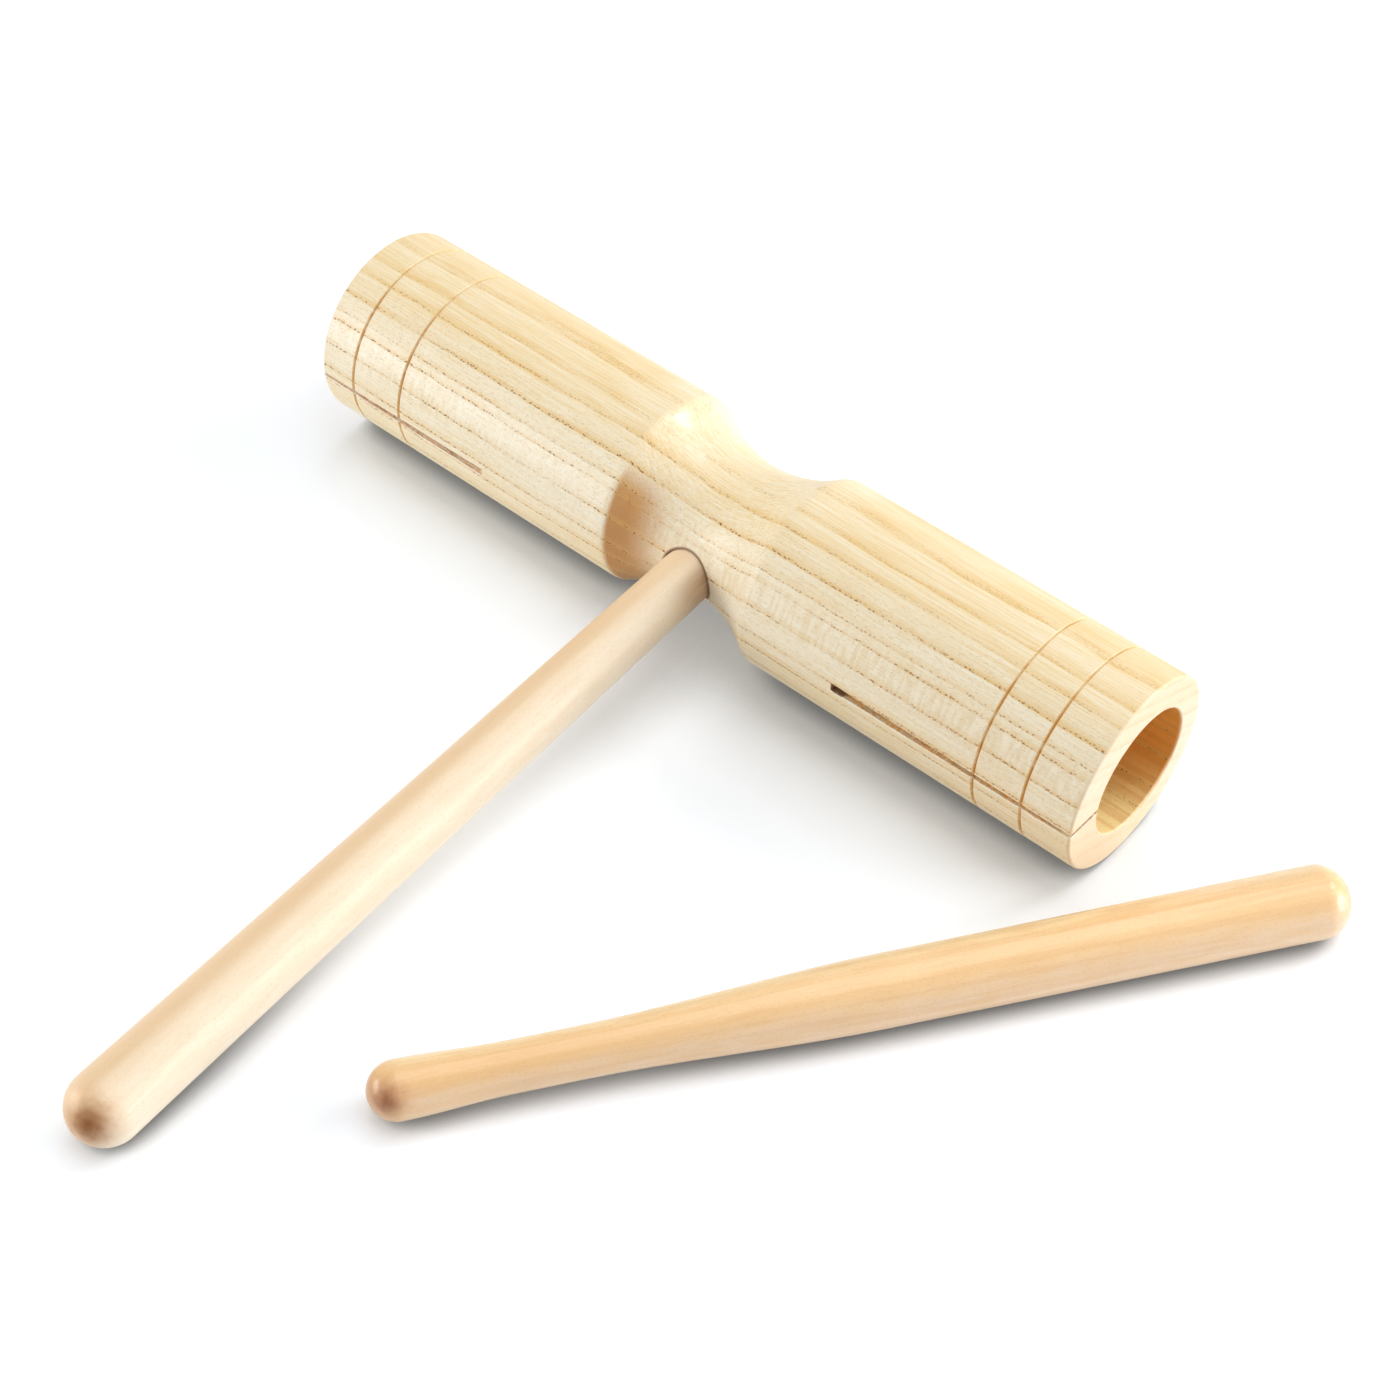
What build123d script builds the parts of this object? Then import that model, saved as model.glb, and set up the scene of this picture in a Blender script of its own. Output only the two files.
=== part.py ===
from build123d import *
import math
import os

# Two-tone tubular wood block: a turned block with two slotted sound chambers, a glued-in handle
# and a loose beater, all lying on a level surface.
# Millimetres and degrees. X runs along the block, the handle points to -Y, Z is up.
# The origin is on the surface, under the middle of the block.

# Turned block
BLOCK_LENGTH = 200.0
BLOCK_RADIUS = 21.5
RIM_ROUND = 0.6
WAIST_LENGTH = 36.6
WAIST_RADIUS = 15.4
SHOULDER_ROUND = 3.2

# Fine turned grooves, each place measured from the nearer end of the block
GROOVE_WIDTH = 0.75
GROOVE_DEPTH = 0.5
RIGHT_OUTER_GROOVE = 11.6
RIGHT_INNER_GROOVE = 22.9
LEFT_OUTER_GROOVE = 9.4
LEFT_INNER_GROOVE = 23.1

# Sound chambers, bored off centre so that the wall is thicker on the slotted side
CHAMBER_RADIUS = 13.9
CHAMBER_SHIFT_BACK = 1.6
CHAMBER_SHIFT_DOWN = 0.7
CHAMBER_MOUTH_ROUND = 0.5
CHAMBER_PAST_SLOT = 8.0

# Saw-cut slots, open at the ends of the block; the rise is the angle above level on the handle's side
RIGHT_SLOT_LENGTH = 57.5
LEFT_SLOT_LENGTH = 47.6
SLOT_INNER_WIDTH = 1.8
SLOT_MOUTH_WIDTH = 0.8
RIGHT_SLOT_RISE = 2.2
LEFT_SLOT_RISE = -2.2

# Handle, from the block's axis to its tip
HANDLE_REACH = 182.6
HANDLE_ROOT_RADIUS = 5.9
HANDLE_END_RADIUS = 7.48
MORTISE_DEPTH = 22.0
TENON_CLEARANCE = 0.2

# Beater, with places measured from its thin end
BEATER_LENGTH = 189.5
BEATER_BUTT_RADIUS = 5.7
BEATER_NECK_RADIUS = 4.92
BEATER_NECK_START = 26.5
BEATER_NECK_END = 38.5
BEATER_HEAD_START = 96.5
BEATER_HEAD_START_RADIUS = 7.03
BEATER_HEAD_END_RADIUS = 7.3
BEATER_HEAD_DOME = 6.5

# Where the beater lies: it passes the block's front right corner, turned from the block's length
BEATER_TURN = 54.8
BEATER_GAP_TO_BLOCK = 7.8
BEATER_PASSES_CORNER_AT = 137.1

# Spare length of a cutting tool past the surface that it comes through
CUT_MARGIN = 2.0


def turned(outline):
    """Solid turned about the X axis from an outline drawn on its +Y side."""
    return revolve(make_face(outline), Axis.X)


def rims_at(solid, place, radius):
    """Round edges of a turned solid at the given place along X, either side, with that radius."""
    rims = solid.edges().filter_by(GeomType.CIRCLE)
    return rims.filter_by(
        lambda rim: abs(abs(rim.arc_center.X) - place) < 0.01 and abs(rim.radius - radius) < 0.01
    )


def block_blank():
    """Turned block before any cut: two barrels with a hollow waist between their shoulders."""
    half = BLOCK_LENGTH / 2
    shoulder = WAIST_LENGTH / 2
    barrels = Polyline(
        (-shoulder, BLOCK_RADIUS),
        (-half, BLOCK_RADIUS),
        (-half, 0),
        (half, 0),
        (half, BLOCK_RADIUS),
        (shoulder, BLOCK_RADIUS),
    )
    waist = ThreePointArc((-shoulder, BLOCK_RADIUS), (0, WAIST_RADIUS), (shoulder, BLOCK_RADIUS))
    blank = turned(barrels + waist)
    blank = fillet(rims_at(blank, half, BLOCK_RADIUS), RIM_ROUND)
    return fillet(rims_at(blank, shoulder, BLOCK_RADIUS), SHOULDER_ROUND)


def groove(place):
    """Ring with a V section that cuts one fine groove at the given place along the block."""
    section = Polyline(
        (place - GROOVE_WIDTH, BLOCK_RADIUS + GROOVE_DEPTH),
        (place, BLOCK_RADIUS - GROOVE_DEPTH),
        (place + GROOVE_WIDTH, BLOCK_RADIUS + GROOVE_DEPTH),
        close=True,
    )
    return turned(section)


def chamber(side, slot_length):
    """Flat-bottomed bore from one end of the block, a little deeper than the slot is long."""
    depth = slot_length + CHAMBER_PAST_SLOT
    length = depth + CUT_MARGIN
    middle = side * (BLOCK_LENGTH / 2 - depth + length / 2)
    bore = Rot(0, 90, 0) * Cylinder(CHAMBER_RADIUS, length)
    return Pos(middle, CHAMBER_SHIFT_BACK, -CHAMBER_SHIFT_DOWN) * bore


def slot(side, length, rise):
    """Tapered saw cut, from the block's axis out through the wall and open at the block's end."""
    end = BLOCK_LENGTH / 2
    inner = end - length
    plan = Polyline(
        (side * inner, -SLOT_INNER_WIDTH / 2),
        (side * end, -SLOT_MOUTH_WIDTH / 2),
        (side * (end + CUT_MARGIN), -SLOT_MOUTH_WIDTH / 2),
        (side * (end + CUT_MARGIN), SLOT_MOUTH_WIDTH / 2),
        (side * end, SLOT_MOUTH_WIDTH / 2),
        (side * inner, SLOT_INNER_WIDTH / 2),
        close=True,
    )
    front = Plane(origin=(0, 0, 0), x_dir=(1, 0, 0), z_dir=(0, -1, 0))
    cut = extrude(front * make_face(plan), BLOCK_RADIUS + CUT_MARGIN)
    return Rot(-rise, 0, 0) * cut


def block_place():
    """The block lies on the surface, so its axis is one radius above it."""
    return Pos(0, 0, BLOCK_RADIUS)


def handle_place():
    """The handle starts on the block's axis and slopes down until its round end touches the surface."""
    drop = BLOCK_RADIUS - HANDLE_END_RADIUS
    slope = math.asin(drop / (HANDLE_REACH - HANDLE_END_RADIUS))
    along = (0, -math.cos(slope), -math.sin(slope))
    return Plane(origin=(0, 0, BLOCK_RADIUS), x_dir=along, z_dir=(1, 0, 0)).location


def mortise_floor():
    """Distance of the mortise's floor from the block's axis, along the handle."""
    return WAIST_RADIUS - MORTISE_DEPTH


def mortise():
    """Blind hole in the waist for the handle's tenon."""
    length = BLOCK_RADIUS - mortise_floor()
    hole = Rot(0, 90, 0) * Cylinder(HANDLE_ROOT_RADIUS + TENON_CLEARANCE, length)
    return handle_place() * Pos(mortise_floor() + length / 2, 0, 0) * hole


def tone_block():
    """Turned, grooved, bored and slotted block with its mortise."""
    half = BLOCK_LENGTH / 2
    block = block_blank()
    grooves = [
        half - RIGHT_OUTER_GROOVE,
        half - RIGHT_INNER_GROOVE,
        LEFT_OUTER_GROOVE - half,
        LEFT_INNER_GROOVE - half,
    ]
    for place in grooves:
        block -= groove(place)
    block -= chamber(1, RIGHT_SLOT_LENGTH)
    block -= chamber(-1, LEFT_SLOT_LENGTH)
    block = fillet(rims_at(block, half, CHAMBER_RADIUS), CHAMBER_MOUTH_ROUND)
    block -= slot(1, RIGHT_SLOT_LENGTH, RIGHT_SLOT_RISE)
    block -= slot(-1, LEFT_SLOT_LENGTH, LEFT_SLOT_RISE)
    return block_place() * block - mortise()


def handle():
    """Stick that tapers from a domed free end down to a straight tenon seated in the mortise."""
    dome_start = HANDLE_REACH - HANDLE_END_RADIUS
    side = Polyline(
        (HANDLE_REACH, 0),
        (mortise_floor(), 0),
        (mortise_floor(), HANDLE_ROOT_RADIUS),
        (WAIST_RADIUS, HANDLE_ROOT_RADIUS),
        (dome_start, HANDLE_END_RADIUS),
    )
    dome = CenterArc((dome_start, 0), HANDLE_END_RADIUS, 0, 90)
    return handle_place() * turned(side + dome)


def beater_head_end():
    """Place along the beater where its thick end starts to round over."""
    return BEATER_LENGTH - BEATER_HEAD_DOME


def beater_taper():
    """Half angle of the beater's slightly tapered head, on which it lies."""
    rise = BEATER_HEAD_END_RADIUS - BEATER_HEAD_START_RADIUS
    return math.atan2(rise, beater_head_end() - BEATER_HEAD_START)


def beater_place():
    """The beater lies along its head, beside the block's front right corner."""
    taper = beater_taper()
    turn = math.radians(BEATER_TURN)
    reach = BEATER_GAP_TO_BLOCK + BEATER_HEAD_END_RADIUS
    corner_x = BLOCK_LENGTH / 2 + reach * math.sin(turn)
    corner_y = -BLOCK_RADIUS - reach * math.cos(turn)
    thin_end = (
        corner_x - BEATER_PASSES_CORNER_AT * math.cos(turn),
        corner_y - BEATER_PASSES_CORNER_AT * math.sin(turn),
        BEATER_HEAD_START_RADIUS * math.cos(taper) - BEATER_HEAD_START * math.sin(taper),
    )
    along = (
        math.cos(taper) * math.cos(turn),
        math.cos(taper) * math.sin(turn),
        math.sin(taper),
    )
    level = (math.sin(turn), -math.cos(turn), 0)
    return Plane(origin=thin_end, x_dir=along, z_dir=level).location


def beater():
    """Loose stick with a beaded thin end, a slim neck and a thicker, slightly tapered head."""
    neck_start = (BEATER_NECK_START, BEATER_NECK_RADIUS)
    neck_end = (BEATER_NECK_END, BEATER_NECK_RADIUS)
    head_start = (BEATER_HEAD_START, BEATER_HEAD_START_RADIUS)
    head_end = (beater_head_end(), BEATER_HEAD_END_RADIUS)
    butt = (BEATER_BUTT_RADIUS, BEATER_BUTT_RADIUS)
    head_slope = (math.cos(beater_taper()), math.sin(beater_taper()))
    level = (1, 0)
    outline = CenterArc((BEATER_BUTT_RADIUS, 0), BEATER_BUTT_RADIUS, 90, 90)
    outline += Spline(butt, neck_start, tangents=[level, level])
    outline += Line(neck_start, neck_end)
    outline += Spline(neck_end, head_start, tangents=[level, head_slope])
    outline += Line(head_start, head_end)
    outline += EllipticalCenterArc((beater_head_end(), 0), BEATER_HEAD_DOME, BEATER_HEAD_END_RADIUS)
    outline += Line((BEATER_LENGTH, 0), (0, 0))
    return beater_place() * turned(outline)


os.makedirs("parts", exist_ok=True)
for name, piece in {"tone_block": tone_block(), "handle": handle(), "beater": beater()}.items():
    export_step(piece, f"parts/{name}.step")
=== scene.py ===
import math
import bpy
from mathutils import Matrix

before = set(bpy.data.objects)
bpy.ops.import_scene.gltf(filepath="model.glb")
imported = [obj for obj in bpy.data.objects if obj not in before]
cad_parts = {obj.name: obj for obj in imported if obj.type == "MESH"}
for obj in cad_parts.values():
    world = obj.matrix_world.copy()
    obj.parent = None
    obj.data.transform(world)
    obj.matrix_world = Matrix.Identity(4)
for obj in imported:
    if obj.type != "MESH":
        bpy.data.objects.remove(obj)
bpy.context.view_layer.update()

from types import SimpleNamespace

import bpy
from mathutils import Quaternion, Vector

# A turned wood block with two slotted chambers, its handle and a loose beater.
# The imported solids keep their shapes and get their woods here.
# The scene is in metres; inside the wood patterns, places are in millimetres.
# A fade holds the two values between which something comes in, and after them, where it isn't
# simply none to all, the two amounts that it goes between.
# A layer holds how much of a colour is laid over the wood, and that colour.


def shade(red, green, blue):
    """Colour for a shader from the red, green and blue of a screen."""
    channels = [value / 255 for value in (red, green, blue)]
    linear = [c / 12.92 if c <= 0.04045 else ((c + 0.055) / 1.055) ** 2.4 for c in channels]
    return (*linear, 1)


MILLIMETRE = 0.001
BLACK = (0, 0, 0, 1)
WHITE = (1, 1, 1, 1)

# Camera at the photograph's viewing angle
CAMERA_PLACE = (0.2594, -0.3177, 0.4306)
CAMERA_AIM = (0.0125, -0.0259, 0.0)
CAMERA_ROLL = math.radians(0.656)
CAMERA_LENS = 71.9
CAMERA_SENSOR = 36
CAMERA_NEAREST = 0.01

# Soft boxes: direction from their aim on the table, distance, width and power
SOFTBOXES = {
    "over_softbox": ((0.0, 0.22, 1.0), 1.3, 1.0, 6.9),
    "back_softbox": ((0.38, 0.67, 0.64), 1.3, 0.35, 2.8),
    "right_softbox": ((0.84, 0.52, 0.19), 1.2, 0.6, 9.6),
    "left_softbox": ((-0.70, -0.70, 0.16), 0.75, 0.4, 2.95),
}
SOFTBOX_AIM = (0, -0.03, 0.0)
ROOM_LIGHT = 0.385

# The pale table: painted shade makes it darker near the pieces and darkest where they touch it; white far
# out
FLOOR_WIDTH = 2.2
FLOOR_COLOUR = (0.9, 0.945, 1, 1)
FLOOR_ROUGHNESS = 0.9
FLOOR_GLOW_FADE = (0.32, 0.75, 0.21, 1.0)
SHADE_SAMPLES = 16
CONTACT_REACH = 0.06
CONTACT_FADE = (0.2, 0.6, 0.5, 1.0)
TOUCH_REACH = 0.0078
TOUCH_FADE = (0.1, 0.68, 0.32, 1.0)

# The block's shape, where its patterns follow it
BLOCK_AXIS_HEIGHT = 0.0215
BLOCK_RADIUS = 21.5
BLOCK_HALF_LENGTH = 100.0
BORE_MIDDLE = (0, 0.0016, 0.0208)
BORE_RADIUS = 13.9
BORE_INNER_END = 34.5
GROOVES = (-90.6, -76.9, 77.1, 88.4)
GROOVE_HALF_WIDTH = 0.38
SLOT_INNER_HALF = 0.9
SLOT_MOUTH_HALF = 0.4

# Slots: side, length, rise in degrees, painted shade at the inner end, deep and pale colour of the sawn
# walls
SLOTS = (
    (1, 57.5, 2.2, 0.9, shade(242, 182, 108), shade(255, 228, 178)),
    (-1, 47.6, -2.2, 0.0, shade(250, 200, 152), shade(255, 240, 216)),
)

# The block's finish
BLOCK_ROUGHNESS = 0.42
PORE_ROUGHNESS = 0.65
BLOCK_SHINE = 0.35
BLOCK_COAT = 0.1
BLOCK_COAT_ROUGHNESS = 0.16
BLOCK_DENTS = (0.5, 0.00006)
FIBRE_DENT = 0.25
SAWN_TILT = 26.0

# The polished top of the left shoulder
POLISH_LEFT_FADE = (-20.0, -17.0)
POLISH_RIGHT_FADE = (-5.0, -10.0)
POLISH_UP_FADE = (16.0, 18.5)
POLISH_COAT = 1.0

# The block's grain: its turn about the block's length, its ring lines and its lift in the waist
GRAIN_TURN = math.radians(-25)
RING_LINES = (-20.2, -15.9, -11.4, -7.7, -1.9, 3.7, 5.9, 9.9, 14.4, 17.4, 20.6)
RING_EDGE = 24.0
RING_TALLEST = 10.0
RING_STEP = 0.0008
WAIST_FADE = (24.0, 17.0)
WAIST_GRAIN_LIFT = 0.6
STRENGTH_SIZE = {"Length": 26.0, "Width": 3.0}
BROAD_SIZE = {"Length": 60.0, "Width": 9.0}

# Plain wood, golden away from the quarter, with speckle, fibres and ray flecks
QUARTER_MIDDLE = 1.1
QUARTER_FADE = (5.6, 2.4)
QUARTER_PATCHES = (0.15, 0.7, 0.4, 1.0)
GOLDEN_FADE = (5.0, 15.0, 0.0, 0.85)
SPECKLE_SIZE = {"Length": 1.2, "Width": 0.42}
PALE_WOOD = shade(252, 241, 216)
CREAM_WOOD = shade(246, 228, 191)
GOLDEN_WOOD = shade(243, 215, 158)
SPECKLE_LAYER = (0.5, shade(236, 206, 150))
FIBRE_LAYER = (0.6, shade(255, 249, 230))
DARK_FLECK_LAYER = (0.3, shade(230, 204, 158))
PALE_FLECK_LAYER = (0.33, shade(253, 245, 224))

# Painted shade, brown, in the left hollow of the waist
COVE_LEFT_FADE = (-18.7, -17.5)
COVE_RIGHT_FADE = (-5.0, -15.0)
COVE_UP_FADE = (12.0, 4.5)
COVE_FRONT_FADE = (-2.0, -9.0)
COVE_SHADE_LAYER = (0.84, shade(201, 133, 46))

# Golden bores with darker bands; their gold is painted light on the lower front and painted shade towards
# the upper back
BORE_WALL_FADE = (BORE_RADIUS + 0.35, BORE_RADIUS + 0.1)
BORE_INSIDE_FADE = (BORE_INNER_END - 1.0, BORE_INNER_END - 0.5)
BORE_BACK_FADE = (-15.0, 7.0)
BORE_COVER = 0.9
BORE_LIT_FRONT_GOLD = shade(255, 234, 164)
BORE_SHADED_BACK_GOLD = shade(238, 160, 48)
BORE_BAND_SIZE = {"Length": 45.0, "Width": 1.5}
BORE_BAND_FADE = (0.35, 0.85)
BORE_BAND_LAYER = (0.32, shade(214, 146, 64))

# Rings: tan early wood, a thin line and a row of pores, all faint on top of the waist; lines and pores also
# fade on the block's top, as painted light
EARLY_FADE = (2.4, 0.0)
EARLY_POWER = 1.5
EARLY_STRENGTH = (0.0, 1.0, 0.4, 1.0)
EARLY_COVER = (4.0, 13.0, 0.5, 0.8)
EARLY_TAN = shade(233, 194, 118)
LINE_FADE = (0.75, 0.1)
LINE_STRENGTH = (0.2, 0.8, 0.2, 1.0)
LINE_LAYER = (0.18, shade(216, 166, 92))
CREST_ALONG_FADE = (20.0, 34.0)
CREST_UP_FADE = (17.0, 15.5)
CREST_STRENGTH = (0.0, 1.0, 0.15, 1.0)
BIG_PORES = {"Length": 0.8, "Width": 0.4, "Cover": 0.43}
SMALL_PORES = {"Length": 1.5, "Width": 0.3, "Cover": 0.27}
SMALL_PORE_SHARE = 0.3
PORE_ROW_FADE = (0.62, 0.36)
PORE_STRENGTH = (0.1, 0.6, 0.35, 1.0)
TOP_LIGHT_FADE = (10.0, 18.0, 1.0, 0.3)
END_STRENGTH = (99.2, 99.7, 1.0, 0.3)
PORE_COVER = 0.95
PORE_BROWN_FADE = (5.0, 40.0)
LEFT_PORE_BROWN = shade(138, 84, 36)
RIGHT_PORE_BROWN = shade(168, 112, 52)

# End faces, and painted shade round the rim of the handle's hole
END_FACE_FADE = (99.3, 99.8, 0.0, 0.5)
END_FACE_TAN = shade(241, 214, 184)
RIM_FADE = (6.75, 6.2)
RIM_OUTWARD_FADE = (4.0, 8.0)
RIM_SHADE_LAYER = (0.85, shade(130, 84, 46))

# Burnt grooves with a darker core; the burn fades towards the top, as painted light
BURN_FADE = (GROOVE_HALF_WIDTH + 0.12, GROOVE_HALF_WIDTH - 0.2)
BURN_STRENGTH = (0.1, 0.7, 0.45, 1.0)
BURN_LIT_TOP_FADE = (9.0, 18.0, 1.0, 0.15)
BURN_OUTER_FADE = (BORE_RADIUS + 2.0, BORE_RADIUS + 3.0)
BURN_LAYER = (0.85, shade(238, 190, 108))
CORE_FADE = (0.22, 0.08)
CORE_LAYER = (0.6, shade(186, 124, 50))

# Saw cuts: where they show, how their edges wander, their torn lip with a painted highlight and the painted
# shade at their inner end
KERF_START_FADE = (-0.35, -0.1)
KERF_OUTER_FADE = (-2.0, -6.0)
KERF_PATCH_SIZES = (3.0, 1.2, 0.35)
KERF_WANDER = 1.2
KERF_EDGE_FADE = (0.15, 0.0)
KERF_MOUTH_FADE = (1.0, 6.0, 0.25, 1.0)
KERF_INNER_FADE = (4.2, 2.4)
LIP_BELOW_FADE = (0.9, 0.3)
LIP_START_FADE = (0.0, 0.1)
LIP_PATCH_FADE = (0.42, 0.55)
LIP_AND_HIGHLIGHT_LAYER = (0.85, shade(255, 250, 238))
INNER_END_SHADE = shade(120, 74, 42)
HATCH_SIZES = (0.45, 2.0, 2.0)
HATCH_FADE = (0.35, 0.65)

# Both sticks: sizes of their patterns, and how much of each shows
STICK_SWAY = {"Long_Sway": 2.0, "Short_Sway": 0.3}
STICK_BROAD = {"Length": 38.0, "Width": 5.0}
STICK_BROAD_SHARE = 0.55
STICK_BLOTCHES = {"Length": 8.0, "Width": 2.0}
STICK_BANDS = {"Length": 55.0, "Width": 1.3}
STICK_BAND_FADE = (0.4, 0.95)
STICK_BAND_SHARE = 0.4
STICK_FIBRES = {"Length": 9.0, "Width": 0.25}
STICK_FIBRE_SHARE = 0.25
STICK_FLECKS = {"Length": 1.2, "Width": 0.3, "Cover": 0.3}
STICK_FLECK_SHARE = 0.3
STICK_DENTS = (0.25, 0.00003)

# The sticks' end grain and the dark spot on one end, both with ragged edges
END_CLOUD_SIZES = (1.6, 1.6, 1.6)
END_RAGGED = 1.6
END_FADE = (4.0, 0.9)
END_SHARE = 0.6
SPOT_RAGGED = 2.4
HALO_REACH = (1.2, 0.3)
HALO_SHARE = 0.75
BROWN_REACH = (0.85, 0.1)
BROWN_SHARE = 0.9
SPOT_COAT = 0.1

# The two sticks. Their tones and painted light and shade round the girth each show on one side of a stick
# only: a direction across the grain, a fade towards it, a fade along the stick and a layer.
# The handle has painted shade in tan along its top, a painted sheen nearly white on its right and a
# painted shadow, dark, where it enters the block.
HANDLE = SimpleNamespace(
    wood="handle_wood_satin",
    start=(0, 0, 0.0215),
    turn=(0, math.radians(4.592), math.radians(-90)),
    length=182.6,
    roughness=0.46,
    shine=0.25,
    coat=0.75,
    coat_roughness=0.42,
    mottle=0.2,
    pale=shade(245, 219, 182),
    deep=shade(236, 204, 162),
    fleck=shade(222, 184, 136),
    end_grain=shade(206, 160, 120),
    spot_place=(180.6, 2.8, 4.0),
    spot_size=8.2,
    spot_tan=shade(224, 166, 104),
    spot_brown=shade(136, 74, 14),
    sides=(
        ((-0.57, 0.82), (0.72, 1.0), (20.0, 40.0), (0.5, shade(222, 178, 122))),
        ((0.97, 0.26), (0.1, 0.95), (8.0, 28.0), (0.9, shade(253, 240, 217))),
        ((0.98, -0.17), (0.15, 0.75), (30.0, 15.0), (0.8, shade(134, 80, 36))),
    ),
)
# The beater is tan all round its thin end, with painted light making it paler along its back and painted
# bounce light, pinkish, under its front.
BEATER = SimpleNamespace(
    wood="beater_wood_gloss",
    start=(0.03331, -0.14223, 0.00673),
    turn=(0, -0.00312, math.radians(54.8)),
    length=189.5,
    roughness=0.38,
    shine=0.5,
    coat=0.5,
    coat_roughness=0.2,
    mottle=0.5,
    pale=shade(250, 209, 152),
    deep=shade(241, 195, 136),
    fleck=shade(222, 166, 102),
    end_grain=shade(206, 152, 112),
    spot_place=(3.4, -3.7, 3.0),
    spot_size=6.0,
    spot_tan=shade(208, 146, 104),
    spot_brown=shade(150, 84, 42),
    sides=(
        ((1.0, 0.0), (-2.0, -1.5), (95.0, 25.0), (0.55, shade(228, 176, 110))),
        ((0.85, 0.53), (0.45, 0.95), (2.0, 8.0), (0.95, shade(255, 230, 182))),
        ((-0.97, -0.2), (0.2, 0.85), (2.0, 8.0), (0.8, shade(244, 214, 182))),
    ),
)


def give(tree, socket, value):
    """Joins an input to a socket, or sets it to a value."""
    if isinstance(value, bpy.types.NodeSocket):
        tree.links.new(value, socket)
    else:
        socket.default_value = value


def put(tree, kind, joined=None, **settings):
    """Adds a node to a tree, with its settings, and joins or sets its inputs."""
    node = tree.nodes.new(kind)
    for name, value in settings.items():
        setattr(node, name, value)
    for key, value in (joined or {}).items():
        give(tree, node.inputs[key], value)
    return node


def reckon(tree, operation, *values):
    """Result of one sum on numbers or sockets."""
    return put(tree, "ShaderNodeMath", dict(enumerate(values)), operation=operation).outputs[0]


def times(tree, first, *others):
    """Product of numbers or sockets."""
    product = first
    for value in others:
        product = reckon(tree, "MULTIPLY", product, value)
    return product


def off_axis(tree, across, up):
    """Distance from a line, from the two distances across it."""
    squares = [reckon(tree, "POWER", value, 2.0) for value in (across, up)]
    return reckon(tree, "SQRT", reckon(tree, "ADD", *squares))


def vector(tree, operation, *places):
    """Result of one sum on places."""
    return put(tree, "ShaderNodeVectorMath", dict(enumerate(places)), operation=operation).outputs


def split(tree, place):
    """The three numbers of a place."""
    return put(tree, "ShaderNodeSeparateXYZ", {0: place}).outputs


def stretched(tree, place, sizes):
    """Place measured in steps of the given sizes along its three directions."""
    steps = put(tree, "ShaderNodeCombineXYZ", dict(enumerate(sizes))).outputs[0]
    return vector(tree, "DIVIDE", place, steps)[0]


def noise(tree, place, detail, roughness=0.5, swirl=0.0):
    """Cloudy noise at a place."""
    return put(
        tree,
        "ShaderNodeTexNoise",
        {"Vector": place, "Scale": 1.0, "Detail": detail, "Roughness": roughness, "Distortion": swirl},
    ).outputs


def ramped(tree, value, low, high, to_low=0.0, to_high=1.0):
    """Value eased from one range into another, held at both ends."""
    return put(
        tree,
        "ShaderNodeMapRange",
        {"Value": value, "From Min": low, "From Max": high, "To Min": to_low, "To Max": to_high},
        interpolation_type="SMOOTHSTEP",
    ).outputs[0]


def mixed(tree, amount, first, second):
    """Two colours mixed by an amount."""
    node = put(tree, "ShaderNodeMix", {"Factor": amount, 6: first, 7: second}, data_type="RGBA")
    return node.outputs[2]


def layered(tree, colour, cover, layer):
    """Colour with a layer over it, as far as the cover goes."""
    amount, tint = layer
    return mixed(tree, times(tree, cover, amount), colour, tint)


def new_group(name, takes, gives):
    """Empty node group with its sockets, its input and its output."""
    group = bpy.data.node_groups.new(name, "ShaderNodeTree")
    for label, start in takes.items():
        kind = "NodeSocketVector" if start is None else "NodeSocketFloat"
        socket = group.interface.new_socket(name=label, in_out="INPUT", socket_type=kind)
        if start is not None:
            socket.default_value = start
    for label in gives:
        kind = "NodeSocketVector" if label == "Place" else "NodeSocketFloat"
        group.interface.new_socket(name=label, in_out="OUTPUT", socket_type=kind)
    return group, group.nodes.new("NodeGroupInput").outputs, group.nodes.new("NodeGroupOutput").inputs


def make_wandering_grain():
    """Group that pushes the grain gently aside, so that no line runs ruler-straight."""
    group, given, result = new_group(
        "wandering_grain", {"Place": None, "Long Sway": 1.2, "Short Sway": 0.45}, ["Place"]
    )
    place = given["Place"]
    pushes = []
    for sizes, sway in (((48, 34, 34), given["Long Sway"]), ((9, 5, 5), given["Short Sway"])):
        cloud = noise(group, stretched(group, place, sizes), detail=1)["Color"]
        centred = vector(group, "SUBTRACT", cloud, (0.5, 0.5, 0.5))[0]
        across = vector(group, "MULTIPLY", centred, (0, 1, 1))[0]
        push = put(group, "ShaderNodeVectorMath", {0: across, "Scale": sway}, operation="SCALE")
        pushes.append(push.outputs[0])
    moved = vector(group, "ADD", place, vector(group, "ADD", *pushes)[0])[0]
    group.links.new(moved, result["Place"])
    return group


def make_fibre_streaks():
    """Group for the fine light and dark streaks of wood fibre, from 0 to 1."""
    group, given, result = new_group(
        "fibre_streaks", {"Place": None, "Length": 16.0, "Width": 0.36}, ["Streaks"]
    )
    sizes = (given["Length"], given["Width"], given["Width"])
    cloud = noise(group, stretched(group, given["Place"], sizes), detail=2, roughness=0.6)
    group.links.new(ramped(group, cloud["Fac"], 0.28, 0.72), result["Streaks"])
    return group


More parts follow.
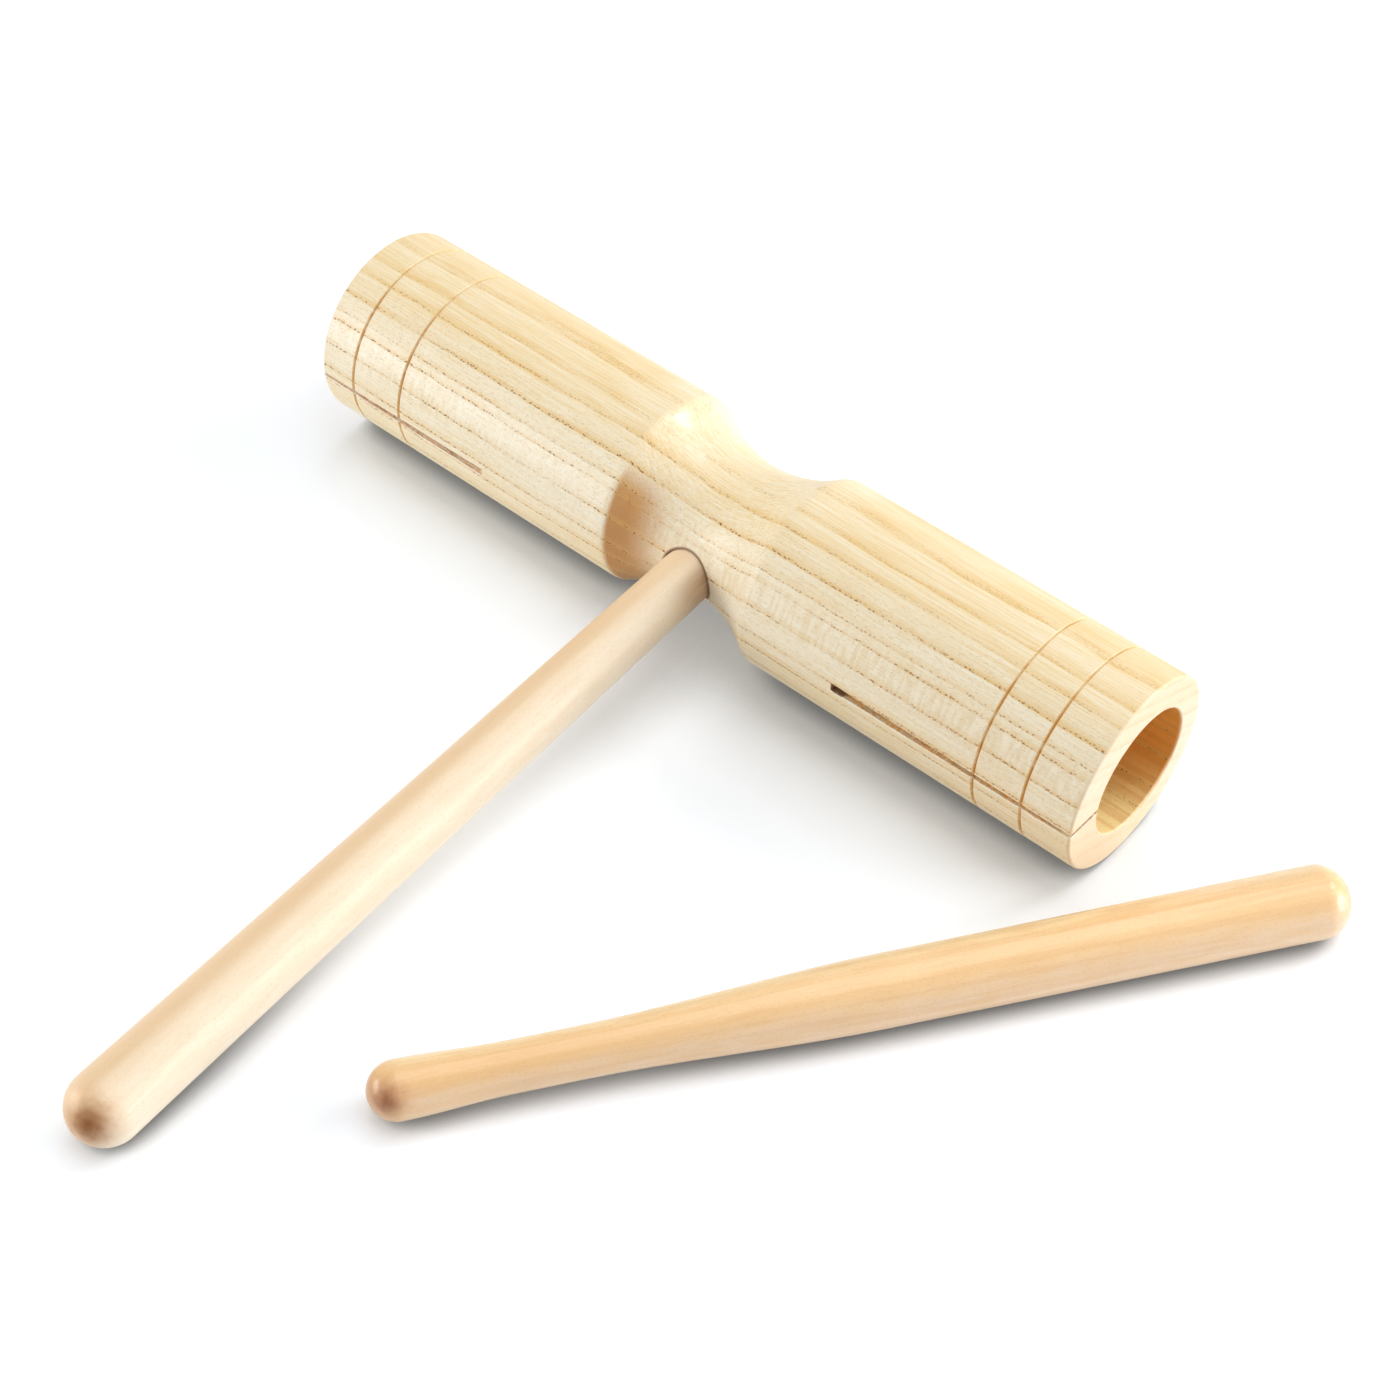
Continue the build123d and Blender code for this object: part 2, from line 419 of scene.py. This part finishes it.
def make_pore_dashes():
    """Group for cut pores: short dashes along the grain, solid in their inner part."""
    group, given, result = new_group(
        "pore_dashes", {"Place": None, "Length": 2.4, "Width": 0.34, "Cover": 0.45}, ["Dashes"]
    )
    sizes = (given["Length"], given["Width"], given["Width"])
    cells = put(
        group,
        "ShaderNodeTexVoronoi",
        {"Vector": stretched(group, given["Place"], sizes), "Scale": 1.0, "Randomness": 1.0},
        feature="F1",
    )
    inner = times(group, given["Cover"], 0.62)
    dashes = ramped(group, cells.outputs["Distance"], given["Cover"], inner)
    group.links.new(dashes, result["Dashes"])
    return group


def make_ray_flecks():
    """Group for ray flecks: pale bars across the grain, longest where the wood is cut on the quarter."""
    group, given, result = new_group(
        "ray_flecks", {"Place": None, "Along": 1.05, "Reach": 6.0, "Thin": 0.9}, ["Flecks"]
    )
    sizes = (given["Along"], given["Thin"], given["Reach"])
    cloud = noise(group, stretched(group, given["Place"], sizes), detail=1.2, roughness=0.45, swirl=0.25)
    group.links.new(ramped(group, cloud["Fac"], 0.38, 0.64), result["Flecks"])
    return group


def make_soft_blotches():
    """Group for broad, soft changes of tone, from 0 to 1."""
    group, given, result = new_group(
        "soft_blotches", {"Place": None, "Length": 30.0, "Width": 6.0}, ["Tone"]
    )
    sizes = (given["Length"], given["Width"], given["Width"])
    cloud = noise(group, stretched(group, given["Place"], sizes), detail=2.5, roughness=0.55)
    group.links.new(ramped(group, cloud["Fac"], 0.3, 0.7), result["Tone"])
    return group


def make_saw_kerf():
    """Group for a saw cut: its sawn inside, the torn lip below it with a painted highlight, and painted
    shade at its inner end. Place starts at its inner end.
    """
    group, given, result = new_group(
        "saw_kerf",
        {"Place": None, "Inner Half": 0.9, "Taper": 0.009, "Length": 50.0},
        ["Inside", "Torn Lip Highlight", "Tilt", "Inner End Shade"],
    )
    along, across, height = split(group, given["Place"])
    half = reckon(group, "SUBTRACT", given["Inner Half"], times(group, along, given["Taper"]))
    here = times(group, ramped(group, along, *KERF_START_FADE), ramped(group, across, *KERF_OUTER_FADE))
    patches = noise(group, stretched(group, given["Place"], KERF_PATCH_SIZES), detail=2)["Fac"]
    wander = times(group, reckon(group, "SUBTRACT", patches, 0.5), KERF_WANDER)
    beyond = reckon(group, "SUBTRACT", reckon(group, "ABSOLUTE", height), half)
    edge = ramped(group, reckon(group, "SUBTRACT", beyond, wander), *KERF_EDGE_FADE)
    from_mouth = reckon(group, "SUBTRACT", given["Length"], along)
    inside = times(group, here, edge, ramped(group, from_mouth, *KERF_MOUTH_FADE))
    below = reckon(group, "SUBTRACT", times(group, height, -1.0), half)
    near = times(group, ramped(group, below, *LIP_BELOW_FADE), ramped(group, below, *LIP_START_FADE))
    depth = reckon(group, "MAXIMUM", reckon(group, "ADD", across, BLOCK_RADIUS), 0.0)
    gives = {
        "Inside": inside,
        "Torn Lip Highlight": times(group, near, ramped(group, patches, *LIP_PATCH_FADE), here),
        "Tilt": times(group, inside, depth),
        "Inner End Shade": times(group, inside, ramped(group, along, *KERF_INNER_FADE)),
    }
    for label, value in gives.items():
        group.links.new(value, result[label])
    return group


def made(tree, group, **given):
    """Places a node group and gives it its values; underscores in names stand for spaces."""
    node = put(tree, "ShaderNodeGroup", node_tree=group)
    for label, value in given.items():
        give(tree, node.inputs[label.replace("_", " ")], value)
    return node.outputs


def tone(tree, groups, place, size):
    """Soft blotches of the given size."""
    return made(tree, groups["soft_blotches"], Place=place, **size)["Tone"]


def new_wood(name, roughness, shine, coat, coat_roughness):
    """Material with a clear-coated wood shader, and its tree."""
    material = bpy.data.materials.new(name)
    material.use_nodes = True
    tree = material.node_tree
    shader = tree.nodes["Principled BSDF"]
    shader.inputs["Roughness"].default_value = roughness
    shader.inputs["Specular IOR Level"].default_value = shine
    shader.inputs["Coat Weight"].default_value = coat
    shader.inputs["Coat Roughness"].default_value = coat_roughness
    return material, tree, shader


def dent(tree, shader, height, strength, distance):
    """Gives a surface small dents from a height."""
    bump = put(tree, "ShaderNodeBump", {"Height": height, "Strength": strength, "Distance": distance})
    tree.links.new(bump.outputs[0], shader.inputs["Normal"])


def grain_place(tree, start, turn, scale=(MILLIMETRE,) * 3):
    """Place in a piece's own millimetres, with its first direction along the grain."""
    coordinates = put(tree, "ShaderNodeTexCoord").outputs["Object"]
    mapping = put(
        tree,
        "ShaderNodeMapping",
        {"Vector": coordinates, "Location": start, "Rotation": turn, "Scale": scale},
        vector_type="TEXTURE",
    )
    return mapping.outputs[0]


def ring_height(tree, rings_up):
    """Height above the last ring line, in millimetres, from the height across all rings."""
    share = put(
        tree,
        "ShaderNodeMapRange",
        {"Value": rings_up, "From Min": -RING_EDGE, "From Max": RING_EDGE},
    ).outputs[0]
    ramp = put(tree, "ShaderNodeValToRGB", {0: share})
    stops = ramp.color_ramp.elements
    edges = (-RING_EDGE, *RING_LINES, RING_EDGE)
    for stop in (stops[0], stops[1]):
        stop.color = BLACK
    for low, high in zip(edges, edges[1:]):
        if low > -RING_EDGE:
            stops.new((low + RING_EDGE) / (2 * RING_EDGE)).color = BLACK
        top = (high - low) / RING_TALLEST
        stops.new((high + RING_EDGE) / (2 * RING_EDGE) - RING_STEP).color = (top, top, top, 1)
    return times(tree, ramp.outputs[0], RING_TALLEST)


def slot_place(tree, side, length, rise):
    """Place seen from the inner end of a slot, with its first direction towards the slot's mouth."""
    start = (side * (BLOCK_HALF_LENGTH - length) * MILLIMETRE, 0, BLOCK_AXIS_HEIGHT)
    turn = (-math.radians(rise), 0, 0)
    return grain_place(tree, start, turn, (side * MILLIMETRE, MILLIMETRE, MILLIMETRE))


def measure_block(tree, groups):
    """Places and distances in the block, and the tones that several of its patterns share."""
    straight = grain_place(tree, (0, 0, BLOCK_AXIS_HEIGHT), (GRAIN_TURN, 0, 0))
    along, across, up = split(tree, straight)
    from_middle = reckon(tree, "ABSOLUTE", along)
    hollow = reckon(tree, "SUBTRACT", BLOCK_RADIUS, off_axis(tree, across, up))
    hollow = times(tree, reckon(tree, "MAXIMUM", hollow, 0.0), ramped(tree, from_middle, *WAIST_FADE))
    lift = put(tree, "ShaderNodeCombineXYZ", {2: times(tree, hollow, WAIST_GRAIN_LIFT)}).outputs[0]
    bent = vector(tree, "ADD", straight, lift)[0]
    place = made(tree, groups["wandering_grain"], Place=bent)["Place"]
    rings_up = split(tree, place)[2]
    bore_across, bore_up = split(tree, grain_place(tree, BORE_MIDDLE, (0, 0, 0)))[1:]
    return SimpleNamespace(
        straight=straight,
        along=along,
        across=across,
        from_middle=from_middle,
        place=place,
        rings_up=rings_up,
        off_quarter=reckon(tree, "ABSOLUTE", reckon(tree, "SUBTRACT", rings_up, QUARTER_MIDDLE)),
        off_bore=off_axis(tree, bore_across, bore_up),
        bore_back=reckon(tree, "ADD", bore_across, bore_up),
        strength=tone(tree, groups, place, STRENGTH_SIZE),
        broad=tone(tree, groups, place, BROAD_SIZE),
        fibres=made(tree, groups["fibre_streaks"], Place=place)["Streaks"],
    )


def plain_wood(tree, groups, block):
    """Colour of the block's plain wood, with speckle, fibres and ray flecks."""
    quarter = ramped(tree, block.off_quarter, *QUARTER_FADE)
    quarter = times(tree, quarter, ramped(tree, block.broad, *QUARTER_PATCHES))
    pale_bars = times(tree, made(tree, groups["ray_flecks"], Place=block.place)["Flecks"], quarter)
    dark_bars = reckon(tree, "SUBTRACT", quarter, pale_bars)
    colour = mixed(tree, block.broad, PALE_WOOD, CREAM_WOOD)
    colour = mixed(tree, ramped(tree, block.off_quarter, *GOLDEN_FADE), colour, GOLDEN_WOOD)
    colour = layered(tree, colour, tone(tree, groups, block.place, SPECKLE_SIZE), SPECKLE_LAYER)
    colour = layered(tree, colour, block.fibres, FIBRE_LAYER)
    colour = layered(tree, colour, dark_bars, DARK_FLECK_LAYER)
    return layered(tree, colour, pale_bars, PALE_FLECK_LAYER)


def with_cove_shade(tree, block, colour):
    """Colour with painted shade, brown, in the left hollow of the waist."""
    cove_shade = times(
        tree,
        ramped(tree, block.along, *COVE_LEFT_FADE),
        ramped(tree, block.along, *COVE_RIGHT_FADE),
        ramped(tree, block.rings_up, *COVE_UP_FADE),
        ramped(tree, block.across, *COVE_FRONT_FADE),
    )
    return layered(tree, colour, cove_shade, COVE_SHADE_LAYER)


def with_golden_bores(tree, groups, block, colour):
    """Colour with the golden walls of the bores, painted light on their front and painted shade deeper
    towards their upper back.
    """
    in_bore = ramped(tree, block.off_bore, *BORE_WALL_FADE)
    in_bore = times(tree, in_bore, ramped(tree, block.from_middle, *BORE_INSIDE_FADE))
    back = ramped(tree, block.bore_back, *BORE_BACK_FADE)
    colour = layered(tree, colour, in_bore, (BORE_COVER, mixed(tree, back, BORE_LIT_FRONT_GOLD, BORE_SHADED_BACK_GOLD)))
    bands = ramped(tree, tone(tree, groups, block.place, BORE_BAND_SIZE), *BORE_BAND_FADE)
    return layered(tree, colour, times(tree, bands, in_bore), BORE_BAND_LAYER)


def with_rings(tree, groups, block, colour):
    """Colour with the rings' early wood, lines and pores, the lines and pores faded on the top as painted
    light, and the pores by themselves.
    """
    height = ring_height(tree, block.rings_up)
    off_crest = reckon(
        tree,
        "MAXIMUM",
        ramped(tree, block.from_middle, *CREST_ALONG_FADE),
        ramped(tree, block.rings_up, *CREST_UP_FADE),
    )
    crest = ramped(tree, off_crest, *CREST_STRENGTH)
    early = reckon(tree, "POWER", ramped(tree, height, *EARLY_FADE), EARLY_POWER)
    early = times(tree, early, ramped(tree, block.strength, *EARLY_STRENGTH), crest)
    early = times(tree, early, ramped(tree, block.rings_up, *EARLY_COVER))
    plain_side = times(
        tree,
        ramped(tree, block.rings_up, *TOP_LIGHT_FADE),
        ramped(tree, block.from_middle, *END_STRENGTH),
    )
    line = times(tree, ramped(tree, height, *LINE_FADE), plain_side, crest)
    line = times(tree, line, ramped(tree, block.strength, *LINE_STRENGTH))
    big_pores = made(tree, groups["pore_dashes"], Place=block.place, **BIG_PORES)["Dashes"]
    small_pores = made(tree, groups["pore_dashes"], Place=block.place, **SMALL_PORES)["Dashes"]
    pores = times(tree, ramped(tree, height, *PORE_ROW_FADE), big_pores)
    pores = times(tree, pores, ramped(tree, block.strength, *PORE_STRENGTH))
    pores = reckon(tree, "MAXIMUM", pores, times(tree, small_pores, SMALL_PORE_SHARE))
    pores = times(tree, pores, plain_side)
    rightward = ramped(tree, block.along, *PORE_BROWN_FADE)
    pore_brown = mixed(tree, rightward, LEFT_PORE_BROWN, RIGHT_PORE_BROWN)
    colour = mixed(tree, early, colour, EARLY_TAN)
    colour = layered(tree, colour, line, LINE_LAYER)
    return layered(tree, colour, pores, (PORE_COVER, pore_brown)), pores


def with_ends_and_rim_shade(tree, block, colour):
    """Colour with the end faces' tan and painted shade, brown, round the rim of the handle's hole."""
    colour = mixed(tree, ramped(tree, block.from_middle, *END_FACE_FADE), colour, END_FACE_TAN)
    outward, across, up = split(tree, grain_place(tree, HANDLE.start, HANDLE.turn))
    rim = ramped(tree, off_axis(tree, across, up), *RIM_FADE)
    return layered(tree, colour, times(tree, rim, ramped(tree, outward, *RIM_OUTWARD_FADE)), RIM_SHADE_LAYER)


def with_burnt_grooves(tree, block, colour):
    """Colour with the burnt grooves, faded towards the top as painted light, and the burn by itself."""
    nearest = None
    for groove in GROOVES:
        away = reckon(tree, "ABSOLUTE", reckon(tree, "SUBTRACT", block.along, groove))
        nearest = away if nearest is None else reckon(tree, "MINIMUM", nearest, away)
    burn = times(
        tree,
        ramped(tree, nearest, *BURN_FADE),
        ramped(tree, block.strength, *BURN_STRENGTH),
        ramped(tree, block.rings_up, *BURN_LIT_TOP_FADE),
        ramped(tree, block.off_bore, *BURN_OUTER_FADE),
    )
    core = times(tree, burn, ramped(tree, nearest, *CORE_FADE))
    colour = layered(tree, colour, burn, BURN_LAYER)
    return layered(tree, colour, core, CORE_LAYER), burn


def with_saw_cuts(tree, groups, block, colour):
    """Colour with the sawn slots, a painted highlight on their torn lips and painted shade at their inner
    ends, and how far their walls tilt outwards.
    """
    marks = noise(tree, stretched(tree, block.straight, HATCH_SIZES), detail=3)["Fac"]
    hatch = ramped(tree, marks, *HATCH_FADE)
    tilt = 0.0
    for side, length, rise, inner_shade, deep, pale in SLOTS:
        kerf = made(
            tree,
            groups["saw_kerf"],
            Place=slot_place(tree, side, length, rise),
            Inner_Half=SLOT_INNER_HALF,
            Taper=(SLOT_INNER_HALF - SLOT_MOUTH_HALF) / length,
            Length=length,
        )
        # Torn lip with a painted highlight, sawn walls, and painted shade at the inner end
        colour = layered(tree, colour, kerf["Torn Lip Highlight"], LIP_AND_HIGHLIGHT_LAYER)
        colour = mixed(tree, kerf["Inside"], colour, mixed(tree, hatch, deep, pale))
        colour = layered(tree, colour, kerf["Inner End Shade"], (inner_shade, INNER_END_SHADE))
        tilt = reckon(tree, "ADD", tilt, kerf["Tilt"])
    return colour, tilt


def make_block_wood(groups):
    """Pale ring-porous wood: dashed pore lines, tan ring bands, ray flecks, burnt grooves and saw cuts."""
    material, tree, shader = new_wood(
        "block_wood_grain", BLOCK_ROUGHNESS, BLOCK_SHINE, BLOCK_COAT, BLOCK_COAT_ROUGHNESS
    )
    block = measure_block(tree, groups)
    colour = plain_wood(tree, groups, block)
    colour = with_cove_shade(tree, block, colour)
    colour = with_golden_bores(tree, groups, block, colour)
    colour, pores = with_rings(tree, groups, block, colour)
    colour = with_ends_and_rim_shade(tree, block, colour)
    colour, burn = with_burnt_grooves(tree, block, colour)
    colour, tilt = with_saw_cuts(tree, groups, block, colour)
    tree.links.new(colour, shader.inputs["Base Color"])

    polish = times(
        tree,
        ramped(tree, block.along, *POLISH_LEFT_FADE),
        ramped(tree, block.along, *POLISH_RIGHT_FADE),
        ramped(tree, block.rings_up, *POLISH_UP_FADE),
    )
    coat = ramped(tree, polish, 0.0, 1.0, BLOCK_COAT, POLISH_COAT)
    tree.links.new(coat, shader.inputs["Coat Weight"])
    rough = ramped(tree, reckon(tree, "ADD", pores, burn), 0.0, 1.0, BLOCK_ROUGHNESS, PORE_ROUGHNESS)
    tree.links.new(rough, shader.inputs["Roughness"])
    height = reckon(tree, "SUBTRACT", times(tree, block.fibres, FIBRE_DENT), pores)
    height = reckon(tree, "ADD", height, times(tree, tilt, SAWN_TILT))
    dent(tree, shader, height, *BLOCK_DENTS)
    return material


def facing(tree, place, direction, fade):
    """How far a stick's surface faces a direction across its grain."""
    _, across, up = split(tree, place)
    side, rise = direction
    share = reckon(tree, "ADD", times(tree, across, side), times(tree, up, rise))
    return ramped(tree, reckon(tree, "DIVIDE", share, off_axis(tree, across, up)), *fade)


def make_stick_wood(groups, stick):
    """Fine, even wood of a turned stick, with brown end grain and tones that change round its girth, most of
    them painted light and shade.
    """
    material, tree, shader = new_wood(
        stick.wood, stick.roughness, stick.shine, stick.coat, stick.coat_roughness
    )
    straight = grain_place(tree, stick.start, stick.turn)
    along = split(tree, straight)[0]
    place = made(tree, groups["wandering_grain"], Place=straight, **STICK_SWAY)["Place"]
    bands = ramped(tree, tone(tree, groups, place, STICK_BANDS), *STICK_BAND_FADE)
    fibres = made(tree, groups["fibre_streaks"], Place=place, **STICK_FIBRES)["Streaks"]
    flecks = made(tree, groups["pore_dashes"], Place=place, **STICK_FLECKS)["Dashes"]

    broad = tone(tree, groups, place, STICK_BROAD)
    colour = layered(tree, stick.pale, broad, (STICK_BROAD_SHARE, stick.deep))
    # Tones round the girth, most of them painted light and shade on one side of the stick
    for direction, fade, fade_along, layer in stick.sides:
        cover = times(tree, facing(tree, straight, direction, fade), ramped(tree, along, *fade_along))
        colour = layered(tree, colour, cover, layer)
    blotches = tone(tree, groups, place, STICK_BLOTCHES)
    colour = layered(tree, colour, blotches, (stick.mottle, stick.deep))
    colour = layered(tree, colour, bands, (stick.mottle * STICK_BAND_SHARE, stick.fleck))
    colour = layered(tree, colour, fibres, (STICK_FIBRE_SHARE, stick.pale))
    colour = layered(tree, colour, flecks, (STICK_FLECK_SHARE, stick.fleck))

    from_far_end = reckon(tree, "SUBTRACT", stick.length, along)
    from_end = reckon(tree, "MINIMUM", reckon(tree, "ABSOLUTE", along), from_far_end)
    cloud = noise(tree, stretched(tree, straight, END_CLOUD_SIZES), detail=3)["Fac"]
    end = ramped(tree, reckon(tree, "ADD", from_end, times(tree, cloud, END_RAGGED)), *END_FADE)
    colour = layered(tree, colour, end, (END_SHARE, stick.end_grain))
    off_spot = vector(tree, "DISTANCE", straight, stick.spot_place)["Value"]
    off_spot = reckon(tree, "ADD", off_spot, times(tree, cloud, SPOT_RAGGED))
    halo = ramped(tree, off_spot, *(stick.spot_size * reach for reach in HALO_REACH))
    colour = layered(tree, colour, halo, (HALO_SHARE, stick.spot_tan))
    brown = ramped(tree, off_spot, *(stick.spot_size * reach for reach in BROWN_REACH))
    colour = layered(tree, colour, brown, (BROWN_SHARE, stick.spot_brown))

    tree.links.new(colour, shader.inputs["Base Color"])
    tree.links.new(ramped(tree, brown, 0.0, 1.0, stick.coat, SPOT_COAT), shader.inputs["Coat Weight"])
    dent(tree, shader, fibres, *STICK_DENTS)
    return material


def dress(node, material):
    """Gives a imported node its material."""
    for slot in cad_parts[node].material_slots:
        slot.material = material


def background_glow(tree):
    """One for rays that show the plain background: from the camera, or by a mirror or clear piece."""
    path = put(tree, "ShaderNodeLightPath").outputs
    seen = reckon(tree, "MAXIMUM", path["Is Camera Ray"], path["Is Glossy Ray"])
    return reckon(tree, "MAXIMUM", seen, path["Is Transmission Ray"])


def nearness_shade(tree, reach, fade):
    """Shade of the table near the pieces, one where nothing is within reach."""
    openness = put(tree, "ShaderNodeAmbientOcclusion", {"Distance": reach}, samples=SHADE_SAMPLES)
    return ramped(tree, openness.outputs["AO"], *fade)


def make_floor():
    """Pale table that keeps the shadows, with painted shade near the pieces, and shows white where the light
    is full.
    """
    bpy.ops.mesh.primitive_plane_add(size=FLOOR_WIDTH, location=(0, 0, 0))
    floor = bpy.context.active_object
    floor.name = "table_top"
    material = bpy.data.materials.new("table_white")
    material.use_nodes = True
    tree = material.node_tree
    shader = tree.nodes["Principled BSDF"]
    contact = nearness_shade(tree, CONTACT_REACH, CONTACT_FADE)
    touch = nearness_shade(tree, TOUCH_REACH, TOUCH_FADE)
    colour = mixed(tree, times(tree, contact, touch), BLACK, FLOOR_COLOUR)
    tree.links.new(colour, shader.inputs["Base Color"])
    shader.inputs["Roughness"].default_value = FLOOR_ROUGHNESS
    shader.inputs["Specular IOR Level"].default_value = 0.0
    shader.inputs["Emission Color"].default_value = WHITE
    spot = put(tree, "ShaderNodeTexCoord").outputs["Object"]
    away = vector(tree, "LENGTH", spot)["Value"]
    fade = ramped(tree, away, *FLOOR_GLOW_FADE)
    glow = times(tree, background_glow(tree), times(tree, fade, touch))
    tree.links.new(glow, shader.inputs["Emission Strength"])
    floor.data.materials.append(material)


def make_room():
    """Even light from a white room, and a white background."""
    world = bpy.data.worlds.new("white_room")
    world.use_nodes = True
    tree = world.node_tree
    strength = ramped(tree, background_glow(tree), 0.0, 1.0, ROOM_LIGHT, 1.0)
    background = tree.nodes["Background"]
    background.inputs["Color"].default_value = WHITE
    tree.links.new(strength, background.inputs["Strength"])
    bpy.context.scene.world = world


def make_softbox(name, direction, distance, width, power):
    """Square soft box that faces the middle of the table."""
    away = Vector(direction).normalized()
    bpy.ops.object.light_add(type="AREA", location=Vector(SOFTBOX_AIM) + away * distance)
    lamp = bpy.context.active_object
    lamp.name = name
    lamp.rotation_euler = (-away).to_track_quat("-Z", "Y").to_euler()
    lamp.data.shape = "SQUARE"
    lamp.data.size = width
    lamp.data.energy = power


def make_camera():
    """Camera at the photograph's viewing angle."""
    bpy.ops.object.camera_add(location=CAMERA_PLACE)
    camera = bpy.context.active_object
    look = Vector(CAMERA_AIM) - Vector(CAMERA_PLACE)
    turn = look.to_track_quat("-Z", "Y") @ Quaternion((0, 0, 1), CAMERA_ROLL)
    camera.rotation_euler = turn.to_euler()
    camera.data.lens = CAMERA_LENS
    camera.data.sensor_width = CAMERA_SENSOR
    camera.data.clip_start = CAMERA_NEAREST
    bpy.context.scene.camera = camera


def main():
    """Dresses the solids, lights them and aims the camera."""
    bpy.ops.object.select_all(action="DESELECT")
    bpy.context.scene.view_settings.view_transform = "Standard"
    groups = {
        "wandering_grain": make_wandering_grain(),
        "fibre_streaks": make_fibre_streaks(),
        "pore_dashes": make_pore_dashes(),
        "ray_flecks": make_ray_flecks(),
        "soft_blotches": make_soft_blotches(),
        "saw_kerf": make_saw_kerf(),
    }
    dress("tone_block", make_block_wood(groups))
    dress("handle", make_stick_wood(groups, HANDLE))
    dress("beater", make_stick_wood(groups, BEATER))
    make_floor()
    make_room()
    for name, values in SOFTBOXES.items():
        make_softbox(name, *values)
    make_camera()


main()
